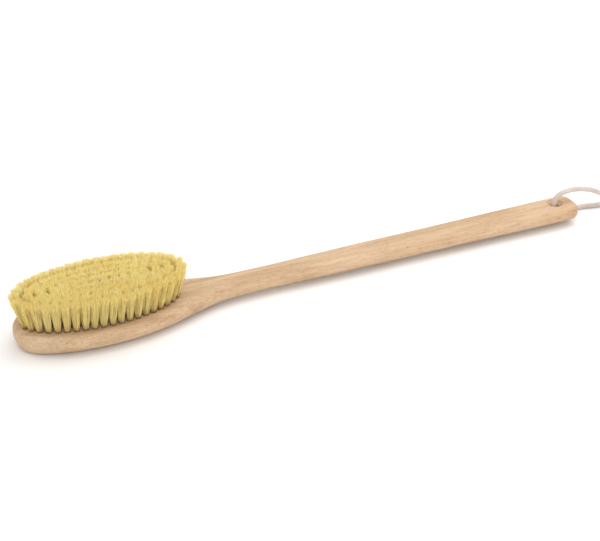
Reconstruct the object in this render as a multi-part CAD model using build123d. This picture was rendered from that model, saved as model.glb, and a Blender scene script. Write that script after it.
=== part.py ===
from build123d import *
import math
import os

# Long-handled body brush: a one-piece beech body, tufts of plant fibre that flat wire
# anchors hold in blind holes, and a cotton hanging cord through the end of the handle.
# Units are millimetres. +X runs from the head to the end of the handle and +Z towards
# the bristle tips. The origin is under the middle of the brush, on the plane that the
# back of the head rests on.

# ---- wooden body ----
LENGTH = 444.4
HEAD_END = -LENGTH / 2
HANDLE_END = LENGTH / 2
FACE_Z = 16.0              # flat face that carries the tufts, level with the handle's top
HEAD_WIDEST = HEAD_END + 59.4
HEAD_HALF_WIDTH = 32.6
HEAD_PLAN_POWER = 2.12     # superellipse power of the head's rounded end
NECK_X = HEAD_END + 160.4
NECK_HALF_WIDTH = 10.0
NECK_CURVE = 1.25          # above 1, the head stays wide for longer before it narrows
GRIP_END_X = HANDLE_END - 9.5
GRIP_HALF_WIDTH = 13.4
GRIP_PLAN_POWER = 2.5
HANDLE_BACK_Z = 4.1        # the handle is thinner than the head, so its back is raised
MID_Z = 10.5               # height of the widest line of every cross-section
FACE_FLAT_HEAD = 0.84      # flat share of the half width, on the face and on the back
FACE_FLAT_HANDLE = 0.45
BACK_FLAT_HEAD = 0.5
BACK_FLAT_HANDLE = 0.6
BACK_TRIM = 0.15           # planed off the head's back, which leaves its rest face
HEAD_NOSE = 12.0           # length over which the thickness rounds off at each end
GRIP_NOSE = 6.0
NOSE_POWER = 2.4
ARCH_SPANS = 6
END_SECTIONS = 8
NECK_SECTIONS = 9
GRIP_SECTIONS = 4
END_CAP_ANGLE = 4.0        # degrees round the plan's end where the first section lies

# ---- hanging hole ----
HOLE_X = HANDLE_END - 17.2
HOLE_RADIUS = 3.6
MOUTH_RADIUS = 6.4
MOUTH_DEPTH = 2.6
DRILL_RUN_OUT = 3.0        # every cutter starts this far outside the wood

# ---- tufts ----
RING_CENTRE_X = HEAD_END + 61.4
TUFT_HOLE_RADIUS = 2.1
TUFT_HOLE_DEPTH = 8.5
TUFT_ROOT_RADIUS = 2.0
TUFT_ROOT_DEPTH = 8.2
BRISTLE_HEIGHT = 22.5
# half length, half width, number of tufts, outward lean in degrees, tip radius
RINGS = [
    (54.3, 24.0, 42, 10.0, 3.1),
    (47.6, 17.4, 33, 5.0, 3.0),
    (41.0, 10.8, 26, 3.0, 2.8),
    (33.6, 4.0, 20, 0.5, 2.6),
]
ARC_STEPS = 2000

# ---- wire anchors ----
ANCHOR_LENGTH = 3.8
ANCHOR_THICKNESS = 0.4
ANCHOR_HEIGHT = 1.9
ANCHOR_LIFT = 1.0          # above the bottom of the tuft
ANCHOR_GAP = 0.05

# ---- cord ----
CORD_RADIUS = 2.0
CORD_MEET_Z = 11.5         # the two strands meet inside the hanging hole
CORD_GAP = 0.5             # between the strands there, and between each strand and the knot
KNOT_X = HOLE_X + 80.0
KNOT_FACE_X = KNOT_X - 5.0
KNOT_Z = 5.3
KNOT_LENGTH = 11.5
KNOT_HALF_SIZE = (6.6, 5.2)
KNOT_ENTRY_ROUNDING = 1.2
KNOT_END_ROUNDING = 2.6
STRAND_Y = 2.3             # the strands enter the knot this far each side of its middle
TAIL_LENGTH = 11.0
TAIL_START = (4.0, -0.8)   # ahead of and above the middle of the knot
TAIL_SPREAD = 16.0         # degrees
TAIL_DROP = 9.0
UPPER_ROUTE = [
    (HOLE_X - 1.0, -0.4, CORD_MEET_Z),
    (HOLE_X - 2.6, -1.2, 19.6),
    (HOLE_X + 4.4, -0.6, 24.0),
    (HOLE_X + 15.8, 0.8, 24.0),
    (HOLE_X + 27.5, 2.2, 21.4),
    (HOLE_X + 39.0, 3.0, 17.2),
    (HOLE_X + 49.5, 1.8, 10.4),
    (HOLE_X + 59.5, -1.4, 4.8),
    (HOLE_X + 68.0, -2.6, 3.2),
    (KNOT_FACE_X - CORD_GAP, -STRAND_Y, 4.9),
]
LOWER_ROUTE = [
    (HOLE_X, 0.0, CORD_MEET_Z - CORD_GAP),
    (HOLE_X + 0.6, 0.6, 2.0),
    (HOLE_X + 10.0, 5.2, 2.0),
    (HOLE_X + 21.0, 9.6, 2.0),
    (HOLE_X + 33.0, 9.0, 2.0),
    (HOLE_X + 46.0, 5.4, 2.0),
    (HOLE_X + 61.0, 5.0, 2.1),
    (KNOT_FACE_X - CORD_GAP, STRAND_Y, 4.9),
]


def headness(x):
    """1 on the head, 0 on the handle, and a smooth fall between them."""
    t = min(max((x - HEAD_WIDEST) / (NECK_X - HEAD_WIDEST), 0.0), 1.0)
    return 0.5 + 0.5 * math.cos(math.pi * t**NECK_CURVE)


def rounded(t, power):
    """Superellipse quarter: 1 at t = 0, falling to 0 at t = 1."""
    return (1 - t**power) ** (1 / power)


def half_width(x):
    """Half the width of the wood in plan at x."""
    if x < HEAD_WIDEST:
        t = (HEAD_WIDEST - x) / (HEAD_WIDEST - HEAD_END)
        return HEAD_HALF_WIDTH * rounded(t, HEAD_PLAN_POWER)
    if x < NECK_X:
        return NECK_HALF_WIDTH + (HEAD_HALF_WIDTH - NECK_HALF_WIDTH) * headness(x)
    if x < GRIP_END_X:
        t = (x - NECK_X) / (GRIP_END_X - NECK_X)
        return NECK_HALF_WIDTH + (GRIP_HALF_WIDTH - NECK_HALF_WIDTH) * t
    t = (x - GRIP_END_X) / (HANDLE_END - GRIP_END_X)
    return GRIP_HALF_WIDTH * rounded(t, GRIP_PLAN_POWER)


def thickness_share(x):
    """Share of the full thickness at x, which rounds off towards both ends."""
    near = min((x - HEAD_END) / HEAD_NOSE, (HANDLE_END - x) / GRIP_NOSE, 1.0)
    return rounded(1 - near, NOSE_POWER)


def section(x):
    """Closed cross-section of the wood at x: flat face and flat back between rounded sides."""
    share = headness(x)
    width = half_width(x)
    full = thickness_share(x)
    top = MID_Z + (FACE_Z - MID_Z) * full
    back_z = HANDLE_BACK_Z * (1 - share) - BACK_TRIM * share
    low = MID_Z - (MID_Z - back_z) * full
    face_flat = width * (FACE_FLAT_HANDLE + (FACE_FLAT_HEAD - FACE_FLAT_HANDLE) * share)
    back_flat = width * (BACK_FLAT_HANDLE + (BACK_FLAT_HEAD - BACK_FLAT_HANDLE) * share)
    corners = [
        Vector(x, face_flat, top),
        Vector(x, width, MID_Z),
        Vector(x, back_flat, low),
        Vector(x, -back_flat, low),
        Vector(x, -width, MID_Z),
        Vector(x, -face_flat, top),
    ]
    return Wire([
        quarter_arch(corners[0], corners[1]),
        quarter_arch(corners[2], corners[1]),
        Edge.make_line(corners[2], corners[3]),
        quarter_arch(corners[3], corners[4]),
        quarter_arch(corners[5], corners[4]),
        Edge.make_line(corners[5], corners[0]),
    ])


def quarter_arch(flat_end, side_end):
    """Quarter ellipse from the edge of a flat, level there, to the widest line, upright there."""
    points = []
    for i in range(ARCH_SPANS + 1):
        angle = math.pi / 2 * i / ARCH_SPANS
        y = flat_end.Y + (side_end.Y - flat_end.Y) * math.sin(angle)
        z = side_end.Z + (flat_end.Z - side_end.Z) * math.cos(angle)
        points.append(Vector(flat_end.X, y, z))
    across = Vector(0, side_end.Y - flat_end.Y, 0)
    down = Vector(0, 0, side_end.Z - flat_end.Z)
    parameters = [i / ARCH_SPANS for i in range(ARCH_SPANS + 1)]
    return Edge.make_spline(points, tangents=[across, down], parameters=parameters)


def section_places():
    """Where the sections stand along X: close together round both ends."""
    cap = math.radians(END_CAP_ANGLE)
    turn = [cap + (math.pi / 2 - cap) * i / END_SECTIONS for i in range(END_SECTIONS)]
    head = [HEAD_WIDEST - (HEAD_WIDEST - HEAD_END) * math.cos(a) for a in turn]
    neck = [HEAD_WIDEST + (NECK_X - HEAD_WIDEST) * i / NECK_SECTIONS for i in range(NECK_SECTIONS)]
    grip = [NECK_X + (GRIP_END_X - NECK_X) * i / GRIP_SECTIONS for i in range(GRIP_SECTIONS)]
    end = [GRIP_END_X + (HANDLE_END - GRIP_END_X) * math.cos(a) for a in reversed(turn)]
    return head + neck + grip + [GRIP_END_X] + end


def ring_places(half_length, half_breadth, count, lean):
    """Evenly spaced tuft positions round an ellipse, each with its outward lean."""
    steps = [2 * math.pi * i / ARC_STEPS for i in range(ARC_STEPS + 1)]
    line = [(half_length * math.cos(a), half_breadth * math.sin(a)) for a in steps]
    walked = [0.0]
    for a, b in zip(line, line[1:]):
        walked.append(walked[-1] + math.dist(a, b))
    places = []
    i = 0
    for k in range(count):
        goal = walked[-1] * (k + 0.5) / count
        while walked[i + 1] < goal:
            i += 1
        x, y = line[i]
        outward = Vector(x / half_length**2, y / half_breadth**2, 0).normalized()
        tilt = math.radians(lean)
        axis = outward * math.sin(tilt) + Vector(0, 0, math.cos(tilt))
        root = Vector(RING_CENTRE_X + x, y, FACE_Z)
        places.append(Plane(origin=root, x_dir=Vector(1, 0, 0) - axis * axis.X, z_dir=axis))
    return places


def quarter(place):
    """Name of the quarter of the head that a tuft stands in."""
    end = "neck" if place.origin.X > RING_CENTRE_X else "toe"
    side = "left" if place.origin.Y > 0 else "right"
    return end + "_" + side


def upright(radius, low, high):
    """Cylinder on the local Z axis from low to high."""
    return Pos(0, 0, low) * Cylinder(radius, high - low, align=(Align.CENTER, Align.CENTER, Align.MIN))


def tuft(lean, tip_radius):
    """One tuft on its own axis, with the face of the wood at local z = 0."""
    height = BRISTLE_HEIGHT / math.cos(math.radians(lean))
    root = upright(TUFT_ROOT_RADIUS, -TUFT_ROOT_DEPTH, 0)
    brush = Cone(TUFT_ROOT_RADIUS, tip_radius, height, align=(Align.CENTER, Align.CENTER, Align.MIN))
    slot_size = (4 * TUFT_ROOT_RADIUS, ANCHOR_THICKNESS + 2 * ANCHOR_GAP, ANCHOR_HEIGHT + 2 * ANCHOR_GAP)
    slot = Pos(0, 0, anchor_z()) * Box(*slot_size)
    return root + brush - slot


def anchor_z():
    """Local height of an anchor's middle."""
    return -TUFT_ROOT_DEPTH + ANCHOR_LIFT + ANCHOR_HEIGHT / 2


def anchor():
    """Flat wire anchor that pins a tuft's folded fibres down in its hole."""
    plate = Box(ANCHOR_LENGTH, ANCHOR_THICKNESS, ANCHOR_HEIGHT)
    return Pos(0, 0, anchor_z()) * plate


def wooden_body(places):
    """Head, neck and handle in one piece, with the tuft holes and the hanging hole."""
    wood = Part() + Solid.make_loft([section(x) for x in section_places()])
    wood = wood - Pos(0, 0, -HEAD_HALF_WIDTH) * Box(LENGTH, LENGTH, 2 * HEAD_HALF_WIDTH)
    drill = upright(TUFT_HOLE_RADIUS, -TUFT_HOLE_DEPTH, DRILL_RUN_OUT)
    wood = wood - [place * drill for place in places]
    hole = upright(HOLE_RADIUS, -DRILL_RUN_OUT, FACE_Z + DRILL_RUN_OUT)
    flare = (MOUTH_RADIUS - HOLE_RADIUS) / MOUTH_DEPTH
    mouth = Cone(HOLE_RADIUS, MOUTH_RADIUS + flare * DRILL_RUN_OUT, MOUTH_DEPTH + DRILL_RUN_OUT,
                 align=(Align.CENTER, Align.CENTER, Align.MIN))
    top = Pos(0, 0, FACE_Z - MOUTH_DEPTH) * mouth
    back = Pos(0, 0, HANDLE_BACK_Z + MOUTH_DEPTH) * Rot(180, 0, 0) * mouth
    return wood - [Pos(HOLE_X, 0, 0) * cutter for cutter in (hole, top, back)]


def arc_radii(name, route):
    """Largest even arc at each corner of a cord's route."""
    points = [Vector(*p) for p in route]
    radii = []
    for a, b, c in zip(points, points[1:], points[2:]):
        turn = math.radians((b - a).get_angle(c - b))
        radii.append(0.45 * min((b - a).length, (c - b).length) / math.tan(turn / 2))
    print(name, "arc radii", [round(r, 1) for r in radii])
    return radii


def cord_strand(name, route):
    """Round tube along a route of straight runs and tangent arcs."""
    path = FilletPolyline(*route, radius=arc_radii(name, route))
    tube = sweep(Plane(path @ 0, z_dir=path % 0) * Circle(CORD_RADIUS), path=path)
    print(name, "length", round(path.length, 1), "volume ratio",
          round(tube.volume / (path.length * math.pi * CORD_RADIUS**2), 3))
    return tube


def cord_knot():
    """Knot that joins the two ends of the cord, with its two short tails."""
    entry = Plane(origin=(KNOT_FACE_X, 0, KNOT_Z), x_dir=(0, 1, 0), z_dir=(1, 0, 0))
    lump = extrude(entry * Ellipse(*KNOT_HALF_SIZE), KNOT_LENGTH)
    lump = fillet(lump.faces().sort_by(Axis.X)[-1].edges(), KNOT_END_ROUNDING)
    lump = fillet(lump.faces().sort_by(Axis.X)[0].edges(), KNOT_ENTRY_ROUNDING)
    tail = Cylinder(CORD_RADIUS, TAIL_LENGTH, align=(Align.CENTER, Align.CENTER, Align.MIN))
    ahead, above = TAIL_START
    for side in (-1, 1):
        aim = Rot(0, 0, side * TAIL_SPREAD) * Rot(0, 90 + TAIL_DROP, 0)
        lump = lump + Pos(KNOT_X + ahead, side * STRAND_Y, KNOT_Z + above) * aim * tail
    print("knot solids", len(lump.solids()), "volume", round(lump.volume, 1))
    return lump


def write(name, shapes):
    """One STEP file per node; a node of many pieces is a group of separate solids."""
    solids = [solid for shape in shapes for solid in shape.solids()]
    whole = solids[0] if len(solids) == 1 else Compound(children=solids)
    whole.label = name
    export_step(whole, "parts/" + name + ".step")


os.makedirs("parts", exist_ok=True)
rings = [ring_places(*ring[:4]) for ring in RINGS]
write("wooden_body", [wooden_body([place for ring in rings for place in ring])])
for number, (ring, places) in enumerate(zip(RINGS, rings), start=1):
    groups = {}
    for place in places:
        groups.setdefault(quarter(place), []).append(place)
    one_tuft = tuft(*ring[3:])
    for name, group in groups.items():
        write(f"tufts_ring_{number}_{name}", [place * one_tuft for place in group])
        write(f"anchors_ring_{number}_{name}", [place * anchor() for place in group])
write("hanging_cord_upper", [cord_strand("upper strand", UPPER_ROUTE)])
write("hanging_cord_lower", [cord_strand("lower strand", LOWER_ROUTE)])
write("cord_knot", [cord_knot()])
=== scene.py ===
import math
import random
import bpy
import numpy as np
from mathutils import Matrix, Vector


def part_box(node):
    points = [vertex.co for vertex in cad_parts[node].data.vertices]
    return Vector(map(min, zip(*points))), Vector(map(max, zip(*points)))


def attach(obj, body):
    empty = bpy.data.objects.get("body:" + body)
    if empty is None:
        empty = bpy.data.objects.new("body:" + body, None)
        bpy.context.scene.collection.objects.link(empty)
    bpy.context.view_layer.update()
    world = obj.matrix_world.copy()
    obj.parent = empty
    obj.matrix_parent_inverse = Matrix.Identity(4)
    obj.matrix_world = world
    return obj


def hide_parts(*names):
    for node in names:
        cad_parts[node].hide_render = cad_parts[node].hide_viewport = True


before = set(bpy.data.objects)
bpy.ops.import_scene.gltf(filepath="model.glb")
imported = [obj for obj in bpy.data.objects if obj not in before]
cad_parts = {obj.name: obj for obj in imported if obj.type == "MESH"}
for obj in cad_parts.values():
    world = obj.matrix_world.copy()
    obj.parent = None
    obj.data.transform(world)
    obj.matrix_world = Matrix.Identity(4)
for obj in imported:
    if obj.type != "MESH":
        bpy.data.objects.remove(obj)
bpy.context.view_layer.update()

# The body brush's looks: real fibres in its tufts, oiled beech, and a cotton cord.
# Lengths are metres; MM turns millimetres into metres.
MM = 0.001

FACE_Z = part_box("wooden_body")[1].z
HEAD_END = -222.2          # these two places along the wood are in millimetres, as in part.py
HOLE = 205.0

# ---- camera ----
CAMERA_AZIMUTH = math.radians(-25.6)
CAMERA_ELEVATION = math.radians(28.8)
CAMERA_DISTANCE = 1.08
CAMERA_LENS = 90.0
CAMERA_SENSOR = 36.0
CAMERA_AIM_X = 1.2 * MM
CAMERA_SHIFT = (-0.0278, -0.0210)


def make_camera():
    """Camera at the photograph's viewing angle, aimed at the middle of the handle's top."""
    flat = math.cos(CAMERA_ELEVATION)
    back = Vector((
        math.sin(CAMERA_AZIMUTH) * flat,
        -math.cos(CAMERA_AZIMUTH) * flat,
        math.sin(CAMERA_ELEVATION),
    ))
    data = bpy.data.cameras.new("camera")
    data.lens = CAMERA_LENS
    data.sensor_width = CAMERA_SENSOR
    data.shift_x, data.shift_y = CAMERA_SHIFT
    camera = bpy.data.objects.new("camera", data)
    camera.location = Vector((CAMERA_AIM_X, 0, FACE_Z)) + back * CAMERA_DISTANCE
    camera.rotation_euler = (-back).to_track_quat("-Z", "Y").to_euler()
    bpy.context.scene.collection.objects.link(camera)
    bpy.context.scene.camera = camera


# ---- mesh helpers ----
FIRST_SIDE = (0.3, 0.5, 0.8)     # any direction that no cord starts along
LINE_RESOLUTION = 24


def link(name, mesh, material):
    """Object of that mesh that rides on the brush and takes its finish from a slot."""
    piece = bpy.data.objects.new(name, mesh)
    bpy.context.scene.collection.objects.link(piece)
    mesh.materials.append(material)
    mesh.polygons.foreach_set("use_smooth", [True] * len(mesh.polygons))
    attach(piece, "root")
    return piece


def frames_along(path):
    """Two unit normals at each point of a path, carried along it without twist."""
    tangents = np.gradient(path, axis=0)
    tangents /= np.linalg.norm(tangents, axis=1)[:, None]
    side = np.cross(tangents[0], FIRST_SIDE)
    sides = []
    for tangent in tangents:
        side = side - tangent * (side @ tangent)
        side = side / np.linalg.norm(side)
        sides.append(side)
    sides = np.array(sides)
    return sides, np.cross(tangents, sides)


def walked_along(path):
    """Distance along a path at each of its points."""
    return np.concatenate([[0], np.cumsum(np.linalg.norm(np.diff(path, axis=0), axis=1))])


def tube(path, radius_at, ring_sides):
    """Vertices and faces of a closed tube; radius_at(angles, walked) gives its relief."""
    sides, ups = frames_along(path)
    walked = walked_along(path)
    angles = np.arange(ring_sides) * 2 * math.pi / ring_sides
    rings = []
    for point, side, up, along in zip(path, sides, ups, walked):
        radius = radius_at(angles, along)[:, None]
        spokes = np.cos(angles)[:, None] * side + np.sin(angles)[:, None] * up
        rings.append(point + radius * spokes)
    faces = []
    for i in range(len(path) - 1):
        for j in range(ring_sides):
            k = (j + 1) % ring_sides
            low = i * ring_sides
            high = low + ring_sides
            faces.append((low + j, low + k, high + k, high + j))
    faces.append(tuple(reversed(range(ring_sides))))
    last = (len(path) - 1) * ring_sides
    faces.append(tuple(range(last, last + ring_sides)))
    return np.concatenate(rings), faces


def resampled(path, step):
    """The same path with its points a step apart."""
    walked = walked_along(path)
    count = max(2, int(walked[-1] / step))
    places = np.linspace(0, walked[-1], count)
    return np.stack([np.interp(places, walked, path[:, a]) for a in range(3)], axis=1)


def nurbs_path(name, route):
    """Points of the smooth NURBS line that has the route's points as its control points."""
    curve = bpy.data.curves.new(name + "_line", "CURVE")
    curve.dimensions = "3D"
    curve.resolution_u = LINE_RESOLUTION
    spline = curve.splines.new("NURBS")
    spline.points.add(len(route) - 1)
    for point, place in zip(spline.points, route):
        point.co = (*place, 1.0)
    spline.order_u = 3
    spline.use_endpoint_u = True
    line = bpy.data.objects.new(name + "_line", curve)
    bpy.context.scene.collection.objects.link(line)
    bpy.context.view_layer.update()
    graph = bpy.context.evaluated_depsgraph_get()
    mesh = bpy.data.meshes.new_from_object(line.evaluated_get(graph))
    path = np.array([v.co[:] for v in mesh.vertices])
    bpy.data.objects.remove(line)
    bpy.data.curves.remove(curve)
    bpy.data.meshes.remove(mesh)
    return path


# ---- material helpers ----
WHITE = (1, 1, 1)


class Nodes:
    """Short way to build a material's node tree."""

    def __init__(self, name):
        self.material = bpy.data.materials.new(name)
        self.material.use_nodes = True
        self.tree = self.material.node_tree
        self.shader = self.tree.nodes["Principled BSDF"]

    def add(self, kind, settings=None, **inputs):
        node = self.tree.nodes.new(kind)
        for key, value in (settings or {}).items():
            setattr(node, key, value)
        for key, value in inputs.items():
            self.plug(node, key.replace("_", " "), value)
        return node

    def plug(self, node, key, value):
        socket = node.inputs[key]
        if isinstance(value, bpy.types.NodeSocket):
            self.tree.links.new(value, socket)
        else:
            socket.default_value = value

    def ramp(self, source, stops):
        node = self.tree.nodes.new("ShaderNodeValToRGB")
        elements = node.color_ramp.elements
        while len(elements) < len(stops):
            elements.new(0.5)
        for element, (place, colour) in zip(elements, stops):
            element.position = place
            element.color = (*colour, 1.0)
        self.tree.links.new(source, node.inputs["Fac"])
        return node.outputs["Color"]

    def mix(self, mode, share, a, b):
        """Two colour sockets blended."""
        node = self.tree.nodes.new("ShaderNodeMix")
        node.data_type = "RGBA"
        node.blend_type = mode
        node.inputs[0].default_value = share
        self.tree.links.new(a, node.inputs[6])
        self.tree.links.new(b, node.inputs[7])
        return node.outputs[2]

    def scaled(self, scale):
        """Object coordinates stretched by a scale for each axis."""
        source = self.add("ShaderNodeTexCoord").outputs["Object"]
        node = self.add("ShaderNodeMapping", Vector=source)
        node.inputs["Scale"].default_value = scale
        return node.outputs["Vector"]

    def noise(self, vector, scale, detail=4.0, roughness=0.55, distortion=0.0):
        node = self.add("ShaderNodeTexNoise", Vector=vector, Scale=scale, Detail=detail)
        node.inputs["Roughness"].default_value = roughness
        node.inputs["Distortion"].default_value = distortion
        return node.outputs["Fac"]

    def bump(self, height, strength, distance):
        node = self.add("ShaderNodeBump", Height=height, Strength=strength, Distance=distance)
        self.tree.links.new(node.outputs["Normal"], self.shader.inputs["Normal"])


def srgb(r, g, b):
    """Linear colour of an sRGB one given from 0 to 255."""
    out = []
    for value in (r, g, b):
        value /= 255
        out.append(value / 12.92 if value <= 0.04045 else ((value + 0.055) / 1.055) ** 2.4)
    return tuple(out)


def beech():
    """Oiled beech: broad growth bands, fine streaks and short dark ray flecks along X."""
    n = Nodes("oiled_beech")
    patches = n.noise(n.scaled((6, 22, 22)), 1.0, 2.0)
    bands = n.noise(n.scaled((9, 90, 60)), 1.0, 3.0, 0.5, 0.8)
    streaks = n.noise(n.scaled((45, 900, 700)), 1.0, 3.0, 0.6)
    base = n.ramp(bands, [
        (0.30, srgb(186, 155, 119)), (0.50, srgb(205, 176, 142)), (0.70, srgb(212, 186, 155)),
    ])
    streak = n.ramp(streaks, [(0.32, (0.70, 0.62, 0.55)), (0.60, WHITE)])
    base = n.mix("MULTIPLY", 0.60, base, streak)
    flecks = n.add("ShaderNodeTexVoronoi", Vector=n.scaled((170, 1150, 900)), Scale=1.0)
    fleck = n.ramp(flecks.outputs["Distance"], [(0.12, (0.56, 0.42, 0.31)), (0.30, WHITE)])
    base = n.mix("MULTIPLY", 0.65, base, fleck)
    blush = n.ramp(patches, [(0.35, WHITE), (0.70, (0.99, 0.90, 0.87))])
    base = n.mix("MULTIPLY", 0.8, base, blush)
    n.plug(n.shader, "Base Color", base)
    sheen = n.add("ShaderNodeMapRange", Value=streaks, To_Min=0.46, To_Max=0.62)
    n.plug(n.shader, "Roughness", sheen.outputs[0])
    n.shader.inputs["Specular IOR Level"].default_value = 0.35
    n.bump(n.mix("MULTIPLY", 0.6, streaks, fleck), 0.25, 0.15 * MM)
    return n.material


def fibre():
    """Plant fibre: each fibre has its own tone, and painted shade makes it darker and browner
    towards its root.
    """
    n = Nodes("plant_fibre")
    tone = n.add("ShaderNodeAttribute", {"attribute_name": "fibre_tone"}).outputs["Fac"]
    along = n.add("ShaderNodeAttribute", {"attribute_name": "fibre_along"}).outputs["Fac"]
    own = n.ramp(tone, [
        (0.0, srgb(244, 206, 112)), (0.45, srgb(255, 234, 146)), (1.0, srgb(255, 246, 184)),
    ])
    # painted shade: near its root each fibre turns dark brown, standing for the shade between the
    # packed tufts at the head's face
    root = n.ramp(along, [(0.05, (0.40, 0.25, 0.10)), (0.17, (0.96, 0.92, 0.84)), (0.40, WHITE)])
    speckle = n.noise(n.scaled((900, 900, 260)), 1.0, 2.0)
    colour = n.mix("MULTIPLY", 1.0, own, root)
    spots = n.ramp(speckle, [(0.35, (0.82, 0.78, 0.70)), (0.6, WHITE)])
    colour = n.mix("MULTIPLY", 0.2, colour, spots)
    n.plug(n.shader, "Base Color", colour)
    n.shader.inputs["Roughness"].default_value = 0.5
    n.shader.inputs["Specular IOR Level"].default_value = 0.4
    n.shader.inputs["Sheen Weight"].default_value = 0.45
    n.shader.inputs["Sheen Tint"].default_value = (1.0, 0.86, 0.50, 1.0)
    n.bump(speckle, 0.2, 0.05 * MM)
    return n.material


def cotton():
    """Soft unbleached cotton with fuzzy fine variation."""
    n = Nodes("cotton")
    fuzz = n.noise(n.scaled((1400, 1400, 1400)), 1.0, 4.0, 0.65)
    soil = n.noise(n.scaled((90, 90, 90)), 1.0, 2.0)
    base = n.ramp(soil, [(0.3, srgb(196, 181, 173)), (0.7, srgb(211, 198, 190))])
    base = n.mix("MULTIPLY", 0.6, base, n.ramp(fuzz, [(0.3, (0.84, 0.80, 0.77)), (0.6, WHITE)]))
    n.plug(n.shader, "Base Color", base)
    n.shader.inputs["Roughness"].default_value = 0.9
    n.shader.inputs["Sheen Weight"].default_value = 0.4
    n.bump(fuzz, 0.5, 0.2 * MM)
    return n.material


def wire():
    """Drawn flat steel wire with fine lengthwise scratches."""
    n = Nodes("flat_wire")
    scratches = n.noise(n.scaled((300, 4000, 4000)), 1.0, 3.0)
    steel = n.ramp(scratches, [(0.3, (0.42, 0.41, 0.40)), (0.7, (0.62, 0.61, 0.60))])
    n.plug(n.shader, "Base Color", steel)
    n.shader.inputs["Metallic"].default_value = 1.0
    n.shader.inputs["Roughness"].default_value = 0.35
    n.bump(scratches, 0.2, 0.05 * MM)
    return n.material


# ---- cord ----
CORD_RADIUS = 2.0 * MM
CORD_MEET_Z = 11.5
CORD_GAP = 0.5
KNOT = HOLE + 80.0
KNOT_FACE = KNOT - 5.0
KNOT_Z = 5.3
STRAND_Y = 2.3
UPPER_ROUTE = [
    (HOLE - 1.0, -0.4, CORD_MEET_Z),
    (HOLE - 2.6, -1.2, 19.6),
    (HOLE + 4.4, -0.6, 24.0),
    (HOLE + 15.8, 0.8, 24.0),
    (HOLE + 27.5, 2.2, 21.4),
    (HOLE + 39.0, 3.0, 17.2),
    (HOLE + 49.5, 1.8, 10.4),
    (HOLE + 59.5, -1.4, 4.8),
    (HOLE + 68.0, -2.6, 3.2),
    (KNOT_FACE - CORD_GAP, -STRAND_Y, 4.9),
]
LOWER_ROUTE = [
    (HOLE, 0.0, CORD_MEET_Z - CORD_GAP),
    (HOLE + 0.6, 0.6, 2.0),
    (HOLE + 10.0, 5.2, 2.0),
    (HOLE + 21.0, 9.6, 2.0),
    (HOLE + 33.0, 9.0, 2.0),
    (HOLE + 46.0, 5.4, 2.0),
    (HOLE + 61.0, 5.0, 2.1),
    (KNOT_FACE - CORD_GAP, STRAND_Y, 4.9),
]
BRAID_STRANDS = 8
BRAID_PITCH = 11.0 * MM
BRAID_RELIEF = 0.16 * MM
CORD_STEP = 0.45 * MM
CORD_SIDES = 32


def braid(radius):
    """Relief of a round braid: two families of strands that wind opposite ways."""
    def at(angles, along):
        turn = 2 * math.pi * along / BRAID_PITCH
        left = np.cos(BRAID_STRANDS / 2 * (angles + turn))
        right = np.cos(BRAID_STRANDS / 2 * (angles - turn))
        return radius - BRAID_RELIEF + BRAID_RELIEF * np.maximum(np.abs(left), np.abs(right))
    return at


def cord_piece(name, path, material):
    """Braided cord along a path, and the points that it follows."""
    points = resampled(path, CORD_STEP)
    vertices, faces = tube(points, braid(CORD_RADIUS), CORD_SIDES)
    mesh = bpy.data.meshes.new(name)
    mesh.from_pydata(vertices.tolist(), [], faces)
    return link(name, mesh, material), points


def metres(route):
    """A route given in millimetres, in metres."""
    return [tuple(value * MM for value in point) for point in route]


# the knot: two wraps of cord round both strands, whose ends come out as frayed tails
WRAP_TURNS = 2.35
WRAP_PITCH = 3.9
WRAP_HALF_WIDTH = 4.7
WRAP_HALF_HEIGHT = 3.25
WRAP_STEPS = 140
TUCK_SHARE = 0.12          # share of the wraps at each end over which they tuck in
TUCK_DEPTH = 0.45          # how far out the wraps start and stop, as a share
INNER_RADIUS = CORD_RADIUS * 0.97
TAIL_LENGTH = 9.0
TAIL_SIDES = (2.1, 3.9, 6.4)     # where a tail leaves the wraps, half way, and at its end
FRAY_SEED = 11
FRAY_COUNT = 60
FRAY_LENGTH = 3.2
FRAY_RADIUS = 0.11 * MM
FRAY_FLOOR = 0.2 * MM


def wrap_path():
    """Line of the wraps: an oval helix along X, both ends tucked in towards the strands."""
    path = []
    for i in range(WRAP_STEPS + 1):
        t = i / WRAP_STEPS
        angle = math.pi / 2 + WRAP_TURNS * 2 * math.pi * t
        tuck = min(t, 1 - t) / TUCK_SHARE
        out = TUCK_DEPTH + (1 - TUCK_DEPTH) * min(1.0, tuck) ** 0.6
        x = KNOT + WRAP_PITCH * WRAP_TURNS * (t - 0.5)
        y = WRAP_HALF_WIDTH * out * math.cos(angle)
        z = KNOT_Z + WRAP_HALF_HEIGHT * out * math.sin(angle)
        path.append((x * MM, y * MM, z * MM))
    return np.array(path)


def tail_path(side):
    """Line of one strand through the wraps and out into its tail, which sinks to the floor."""
    start = KNOT_FACE - CORD_GAP - 0.5
    end = KNOT + WRAP_PITCH * WRAP_TURNS / 2
    leave, half_way, tip = TAIL_SIDES
    return [
        (start, side * STRAND_Y, 4.9),
        (KNOT, side * 1.9, KNOT_Z),
        (end, side * leave, 4.9),
        (end + TAIL_LENGTH / 2, side * half_way, 3.0),
        (end + TAIL_LENGTH, side * tip, 2.1),
    ]


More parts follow.
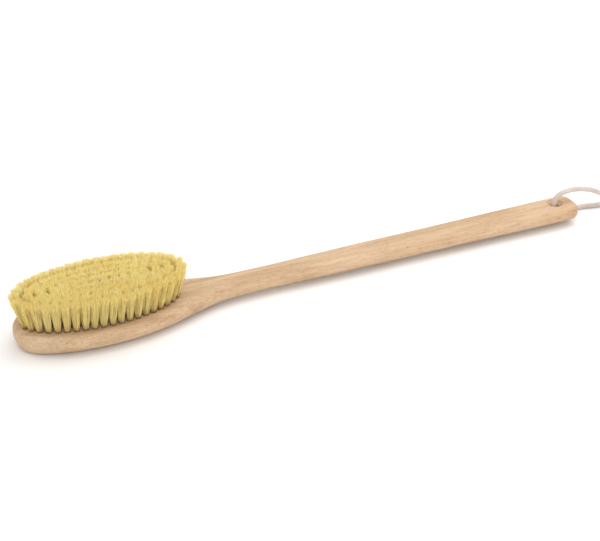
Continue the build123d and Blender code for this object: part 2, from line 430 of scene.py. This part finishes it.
def knot_piece(material):
    """The whole knot in one mesh: the wraps, two inner strands with tails, and frayed ends."""
    vertices = []
    faces = []
    rng = random.Random(FRAY_SEED)

    def take(new_vertices, new_faces):
        base = len(vertices)
        vertices.extend(map(tuple, new_vertices))
        faces.extend(tuple(base + i for i in face) for face in new_faces)

    take(*tube(resampled(wrap_path(), CORD_STEP), braid(INNER_RADIUS), CORD_SIDES))
    for side in (-1, 1):
        path = resampled(nurbs_path("tail", metres(tail_path(side))), CORD_STEP)
        take(*tube(path, braid(INNER_RADIUS), CORD_SIDES))
        ahead = path[-1] - path[-2]
        ahead /= np.linalg.norm(ahead)
        across = np.cross(ahead, (0, 0, 1))
        up = np.cross(across, ahead)
        for _ in range(FRAY_COUNT):
            angle = rng.uniform(0, 2 * math.pi)
            out = CORD_RADIUS * 0.85 * math.sqrt(rng.random())
            spread = across * math.cos(angle) + up * math.sin(angle)
            root = path[-1] - ahead * 0.5 * MM + spread * out
            aim = ahead + spread * rng.uniform(0, 0.35)
            tip = root + aim * FRAY_LENGTH * MM * rng.uniform(0.6, 1)
            tip[2] = max(tip[2], FRAY_FLOOR)
            line = np.linspace(root, tip, 3)
            take(*tube(line, lambda angles, along: np.full(len(angles), FRAY_RADIUS), 3))
    mesh = bpy.data.meshes.new("cord_knot_tied")
    mesh.from_pydata(vertices, [], faces)
    return link("cord_knot_tied", mesh, material)


# ---- bristles ----
RING_CENTRE_X = (HEAD_END + 61.4) * MM
# half length, half width, number of tufts, outward lean in degrees, as in the CAD
RINGS = [
    (54.3, 24.0, 42, 10.0),
    (47.6, 17.4, 33, 5.0),
    (41.0, 10.8, 26, 3.0),
    (33.6, 4.0, 20, 0.5),
]
ARC_STEPS = 2000
BRISTLE_HEIGHT = 22.5 * MM
ROOT_RADIUS = 1.5 * MM
ROOT_DEPTH = 1.5 * MM
FIBRES_PER_TUFT = 190
FIBRE_RADIUS = 0.12 * MM
FIBRE_TIP_SHARE = 0.75
FIBRE_RINGS = 4
FIBRE_SIDES = 3
FAN = (2.1, 2.6)           # how much wider a tuft is at its tips than at its root, least and most
OUTER_FAN = 1.5            # extra fanning of the outer ring's own tufts away from the centre
TRIM_RAGGED = 0.75 * MM
STRAY_SHARE = 0.012
STRAY_WANDER = 1.6 * MM
STRAY_EXTRA = (0.2, 1.4)   # how far a stray stands above the trim, least and most
WANDER = 0.42 * MM
BOW = 0.35 * MM
OUTER_REACH = 1.2 * MM
TONE_SPREAD = 0.2          # between the fibres of one tuft
TUFT_TONE_SPREAD = 0.07    # between tufts
BRISTLE_SEED = 7


def ring_places(half_length, half_breadth, count, lean):
    """Tuft positions round an ellipse, evenly spaced, each with its outward leaning axis."""
    steps = np.linspace(0, 2 * math.pi, ARC_STEPS + 1)
    line = np.stack([half_length * np.cos(steps), half_breadth * np.sin(steps)], axis=1)
    walked = np.concatenate([[0], np.cumsum(np.linalg.norm(np.diff(line, axis=0), axis=1))])
    places = []
    for k in range(count):
        i = int(np.searchsorted(walked, walked[-1] * (k + 0.5) / count)) - 1
        x, y = line[i]
        outward = Vector((x / half_length**2, y / half_breadth**2, 0)).normalized()
        tilt = math.radians(lean)
        axis = outward * math.sin(tilt) + Vector((0, 0, math.cos(tilt)))
        places.append((Vector((RING_CENTRE_X + x * MM, y * MM, FACE_Z)), outward, axis))
    return places


def quarter(root):
    """Name of the quarter of the head that a tuft stands in."""
    end = "neck" if root.x > RING_CENTRE_X else "toe"
    return end + ("_left" if root.y > 0 else "_right")


def fibre_line(place, outer, rng):
    """Centre points of one fibre, from inside its hole up to the trimmed tips."""
    root, outward, axis = place
    across = axis.cross(outward).normalized()
    forward = across.cross(axis)
    radius = math.sqrt(rng.random())
    angle = rng.uniform(0, 2 * math.pi)
    offset = across * (math.cos(angle) * radius) + forward * (math.sin(angle) * radius)
    fan = rng.uniform(*FAN)
    lean_out = 0.0
    if outer:
        lean_out = OUTER_FAN * rng.uniform(0.2, 1.0) * max(0.0, math.sin(angle)) * radius
    stray = rng.random() < STRAY_SHARE
    reach = STRAY_WANDER if stray else WANDER
    wander = (across * rng.gauss(0, 1) + outward * rng.gauss(0, 1)) * reach
    bow = (across * rng.gauss(0, 1) + outward * rng.gauss(0, 1)) * BOW
    trim = BRISTLE_HEIGHT + rng.gauss(0, 0.4) * TRIM_RAGGED
    if stray:
        trim += rng.uniform(*STRAY_EXTRA) * MM
    long = trim / axis.z
    points = []
    for i in range(FIBRE_RINGS):
        t = i / (FIBRE_RINGS - 1)
        along = -ROOT_DEPTH + (long + ROOT_DEPTH) * t
        wide = ROOT_RADIUS * (1 + (fan - 1) * t)
        point = root + axis * along + offset * wide + wander * t**1.5 + bow * math.sin(math.pi * t)
        point = point + outward * (lean_out * OUTER_REACH * t**1.6)
        points.append(point)
    return points


def tuft_group(name, places, outer, material, rng):
    """All the fibres of a group of tufts in one mesh, with their own tone and bake strips."""
    vertices = []
    faces = []
    tones = []
    alongs = []
    corner_uv = []
    total = len(places) * FIBRES_PER_TUFT
    cells = math.ceil(math.sqrt(total))
    number = 0
    for place in places:
        tuft_tone = rng.gauss(0, TUFT_TONE_SPREAD)
        for _ in range(FIBRES_PER_TUFT):
            points = fibre_line(place, outer, rng)
            tone = min(max(rng.gauss(0.5, TONE_SPREAD) + tuft_tone, 0.0), 1.0)
            spin = rng.uniform(0, 2 * math.pi)
            base = len(vertices)
            for i, point in enumerate(points):
                t = i / (FIBRE_RINGS - 1)
                thick = FIBRE_RADIUS * (1 - (1 - FIBRE_TIP_SHARE) * t)
                for j in range(FIBRE_SIDES):
                    angle = spin + 2 * math.pi * j / FIBRE_SIDES
                    x = point.x + thick * math.cos(angle)
                    y = point.y + thick * math.sin(angle)
                    vertices.append((x, y, point.z))
                    tones.append(tone)
                    alongs.append(t)
            left = (number % cells + 0.15) / cells
            low = (number // cells + 0.1) / cells
            wide = 0.7 / cells
            tall = 0.8 / cells
            for i in range(FIBRE_RINGS - 1):
                for j in range(FIBRE_SIDES):
                    k = (j + 1) % FIBRE_SIDES
                    a = base + i * FIBRE_SIDES
                    faces.append((a + j, a + k, a + FIBRE_SIDES + k, a + FIBRE_SIDES + j))
                    u0 = left + wide * j / FIBRE_SIDES
                    u1 = left + wide * (j + 1) / FIBRE_SIDES
                    v0 = low + tall * i / (FIBRE_RINGS - 1)
                    v1 = low + tall * (i + 1) / (FIBRE_RINGS - 1)
                    corner_uv.extend((u0, v0, u1, v0, u1, v1, u0, v1))
            top = base + (FIBRE_RINGS - 1) * FIBRE_SIDES
            faces.append(tuple(top + j for j in range(FIBRE_SIDES)))
            faces.append(tuple(base + FIBRE_SIDES - 1 - j for j in range(FIBRE_SIDES)))
            step = 0.04 / cells
            for edge, point_v in ((low + tall, low + tall + step), (low, low - step)):
                corner_uv.extend((left, edge, left + wide, edge, left + wide / 2, point_v))
            number += 1
    mesh = bpy.data.meshes.new(name)
    mesh.from_pydata(vertices, [], faces)
    for attribute, values in (("fibre_tone", tones), ("fibre_along", alongs)):
        mesh.attributes.new(attribute, "FLOAT", "POINT").data.foreach_set("value", values)
    mesh.uv_layers.new(name="OFBake").data.foreach_set("uv", corner_uv)
    return link(name, mesh, material)


def make_bristles(material):
    """Fibres for all the tufts, one piece for each quarter of each ring."""
    rng = random.Random(BRISTLE_SEED)
    for number, ring in enumerate(RINGS, start=1):
        groups = {}
        for place in ring_places(*ring):
            groups.setdefault(quarter(place[0]), []).append(place)
        for name, places in groups.items():
            piece = tuft_group(f"fibres_ring_{number}_{name}", places, number == 1, material, rng)
            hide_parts(f"tufts_ring_{number}_{name}")


# ---- studio ----
FLOOR_SIZE = 6.0


def make_studio():
    """Pale floor, a bright even surround, and one large soft light from above."""
    mesh = bpy.data.meshes.new("floor")
    h = FLOOR_SIZE / 2
    mesh.from_pydata([(-h, -h, 0), (h, -h, 0), (h, h, 0), (-h, h, 0)], [], [(0, 1, 2, 3)])
    floor = bpy.data.objects.new("floor", mesh)
    bpy.context.scene.collection.objects.link(floor)
    n = Nodes("studio_floor")
    n.shader.inputs["Base Color"].default_value = (0.93, 0.93, 0.93, 1)
    n.shader.inputs["Roughness"].default_value = 0.9
    mesh.materials.append(n.material)
    world = bpy.data.worlds.new("surround")
    world.use_nodes = True
    background = world.node_tree.nodes["Background"]
    background.inputs["Color"].default_value = (1.0, 0.99, 0.975, 1)
    background.inputs["Strength"].default_value = 1.0
    bpy.context.scene.world = world
    for name, place, size, power in (
        ("key", (0.8, 0.2, 1.5), 1.4, 12.0),
        ("fill", (-0.3, -1.3, 0.7), 1.6, 4.0),
    ):
        data = bpy.data.lights.new(name, "AREA")
        data.size = size
        data.energy = power
        light = bpy.data.objects.new(name, data)
        light.location = place
        light.rotation_euler = (-Vector(place)).to_track_quat("-Z", "Y").to_euler()
        bpy.context.scene.collection.objects.link(light)
    bpy.context.scene.view_settings.view_transform = "Standard"


make_camera()
cotton_material = cotton()
knot = knot_piece(cotton_material)
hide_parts("cord_knot")
for strand, route in (("upper", UPPER_ROUTE), ("lower", LOWER_ROUTE)):
    line = nurbs_path(strand, metres(route))
    piece, points = cord_piece(f"cotton_cord_{strand}", line, cotton_material)
    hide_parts(f"hanging_cord_{strand}")
make_bristles(fibre())
wood_material = beech()
wire_material = wire()
for name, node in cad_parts.items():
    if name == "wooden_body":
        node.data.materials.clear()
        node.data.materials.append(wood_material)
    elif name.startswith("anchors"):
        node.data.materials.clear()
        node.data.materials.append(wire_material)
make_studio()
